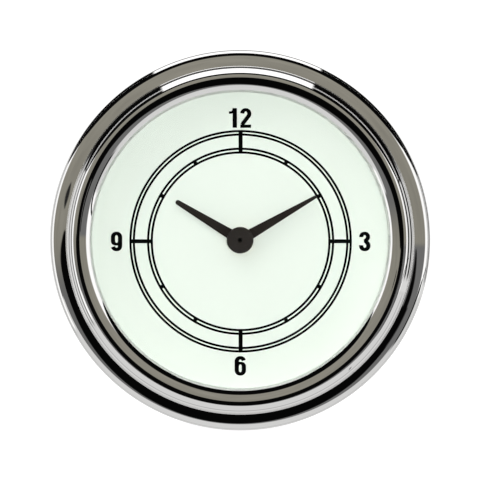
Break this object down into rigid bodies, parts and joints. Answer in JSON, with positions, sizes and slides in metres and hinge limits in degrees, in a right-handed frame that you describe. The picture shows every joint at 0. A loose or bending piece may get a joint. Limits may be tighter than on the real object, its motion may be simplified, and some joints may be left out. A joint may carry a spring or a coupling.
{
  "type": "dashboard car clock",
  "caption": "Round analogue clock for a dashboard hole: stepped polished bezel, white dial, quartz movement, drawn case, rear setting knob and U clamp.",
  "frame": {"origin": "on the clock's axis, at the plane where the bezel seats on the dash panel", "axes": "the dial faces -Y, 12 o'clock is +Z, 3 o'clock is +X, and +Y runs to the rear along the case"},
  "size_m": [0.0596, 0.0556, 0.0596],
  "materials": {
    "polished_steel": "mirror polished stainless steel",
    "black_rubber": "matt",
    "front_glass": "clear flat glass",
    "white_plastic": "matt moulded",
    "dial_paint": "satin white enamel paint",
    "hand_paint": "satin black paint",
    "brass": "satin",
    "zinc_steel": "bright zinc plate",
    "bright_steel": "ground and polished",
    "magnet": "ground magnet alloy",
    "soft_iron": "stamped, nickel plated",
    "copper_wire": "enamelled copper wire",
    "tinned_metal": "tinned",
    "black_plastic": "satin moulded",
    "board_green": "lacquered glass fibre board",
    "capacitor_sleeve": "shrunk sleeve",
    "resistor_body": "lacquered",
    "plated_case": "drawn steel, satin zinc plate",
    "bulb_glass": "clear bulb",
    "phenolic": "brown moulded phenolic"
  },
  "bodies": {
    "clock_case": {"bezel": "polished_steel", "bezel_gasket": "black_rubber", "lens": "front_glass", "spacer_ring": "white_plastic", "dial": "dial_paint", "carrier_ring": "white_plastic", "front_plate": "brass", "back_plate": "brass", "plate_bushes": "brass", "plate_pillars": "brass", "board_spacers": "zinc_steel", "plate_screws": "zinc_steel", "minute_wheel_stud": "bright_steel", "stator": "soft_iron", "stator_screws": "zinc_steel", "coil_core": "soft_iron", "coil_bobbin": "white_plastic", "coil_winding": "copper_wire", "coil_pins": "tinned_metal", "circuit_board": "board_green", "quartz_crystal": "tinned_metal", "microchip": "black_plastic", "capacitor": "capacitor_sleeve", "resistors": "resistor_body", "case": "plated_case", "movement_posts": "brass", "post_screws": "zinc_steel", "lamp_socket": "black_plastic", "lamp_bulb": "bulb_glass", "lamp_contacts": "brass", "terminal_block": "phenolic", "terminal_blades": "brass", "mounting_studs": "zinc_steel", "stud_nuts": "zinc_steel"},
    "minute_hand": {"minute_hand": "hand_paint", "hub_cap": "hand_paint", "cannon_pinion": "brass", "centre_arbor": "bright_steel", "friction_spring": "bright_steel"},
    "hour_hand": {"hour_hand": "hand_paint", "hour_collet": "brass", "hour_wheel": "brass"},
    "minute_wheel": {"minute_wheel": "brass"},
    "setting_shaft": {"set_knob": "black_plastic", "set_arbor": "bright_steel"},
    "centre_wheel": {"centre_wheel": "brass"},
    "third_wheel": {"third_wheel": "brass", "third_arbor": "bright_steel"},
    "fourth_wheel": {"fourth_wheel": "brass", "fourth_arbor": "bright_steel"},
    "fifth_wheel": {"fifth_wheel": "brass", "fifth_arbor": "bright_steel"},
    "rotor": {"rotor_magnet": "magnet", "rotor_arbor": "bright_steel"},
    "clamp": {"clamp_bracket": "zinc_steel", "clamp_washers": "zinc_steel"},
    "left_thumb_nut": {"thumb_nut_left": "brass"},
    "right_thumb_nut": {"thumb_nut_right": "brass"}
  },
  "joints": [
    {"name": "setting_knob", "type": "hinge", "parent": "clock_case", "child": "setting_shaft", "pos_m": [-0.00901, 0, -0.01299], "axis": [0, 1, 0], "continuous": true},
    {"name": "minute_hand", "type": "hinge", "parent": "clock_case", "child": "minute_hand", "pos_m": [0, 0, 0], "axis": [0, 1, 0], "continuous": true},
    {"name": "hour_hand", "type": "hinge", "parent": "clock_case", "child": "hour_hand", "pos_m": [0, 0, 0], "axis": [0, 1, 0], "continuous": true},
    {"name": "minute_wheel", "type": "hinge", "parent": "clock_case", "child": "minute_wheel", "pos_m": [-0.00217, 0, -0.00811], "axis": [0, 1, 0], "continuous": true},
    {"name": "rotor", "type": "hinge", "parent": "clock_case", "child": "rotor", "pos_m": [-0.00992, 0, 0.00531], "axis": [0, 1, 0], "continuous": true},
    {"name": "fifth_wheel", "type": "hinge", "parent": "clock_case", "child": "fifth_wheel", "pos_m": [-0.00624, 0, 0.00839], "axis": [0, 1, 0], "continuous": true},
    {"name": "fourth_wheel", "type": "hinge", "parent": "clock_case", "child": "fourth_wheel", "pos_m": [-0.00139, 0, 0.01119], "axis": [0, 1, 0], "continuous": true},
    {"name": "third_wheel", "type": "hinge", "parent": "clock_case", "child": "third_wheel", "pos_m": [0.0045, 0, 0.00779], "axis": [0, 1, 0], "continuous": true},
    {"name": "centre_wheel", "type": "hinge", "parent": "clock_case", "child": "centre_wheel", "pos_m": [0, 0, 0], "axis": [0, 1, 0], "continuous": true},
    {"name": "clamp_slide", "type": "slide", "parent": "clock_case", "child": "clamp", "axis": [0, 1, 0], "range_m": [-0.004, 0.0035]},
    {"name": "left_thumb_nut", "type": "hinge", "parent": "clamp", "child": "left_thumb_nut", "pos_m": [-0.016, 0, 0], "axis": [0, 1, 0], "continuous": true},
    {"name": "right_thumb_nut", "type": "hinge", "parent": "clamp", "child": "right_thumb_nut", "pos_m": [0.016, 0, 0], "axis": [0, 1, 0], "continuous": true}
  ],
  "couplings": [
    {"joint": "minute_hand", "follows": "setting_knob", "ratio": 1},
    {"joint": "hour_hand", "follows": "setting_knob", "ratio": 0.083333},
    {"joint": "minute_wheel", "follows": "setting_knob", "ratio": -0.33333},
    {"joint": "fifth_wheel", "follows": "rotor", "ratio": -0.2},
    {"joint": "fourth_wheel", "follows": "rotor", "ratio": 0.033333},
    {"joint": "third_wheel", "follows": "rotor", "ratio": -0.0044444},
    {"joint": "centre_wheel", "follows": "rotor", "ratio": 0.00055556}
  ]
}
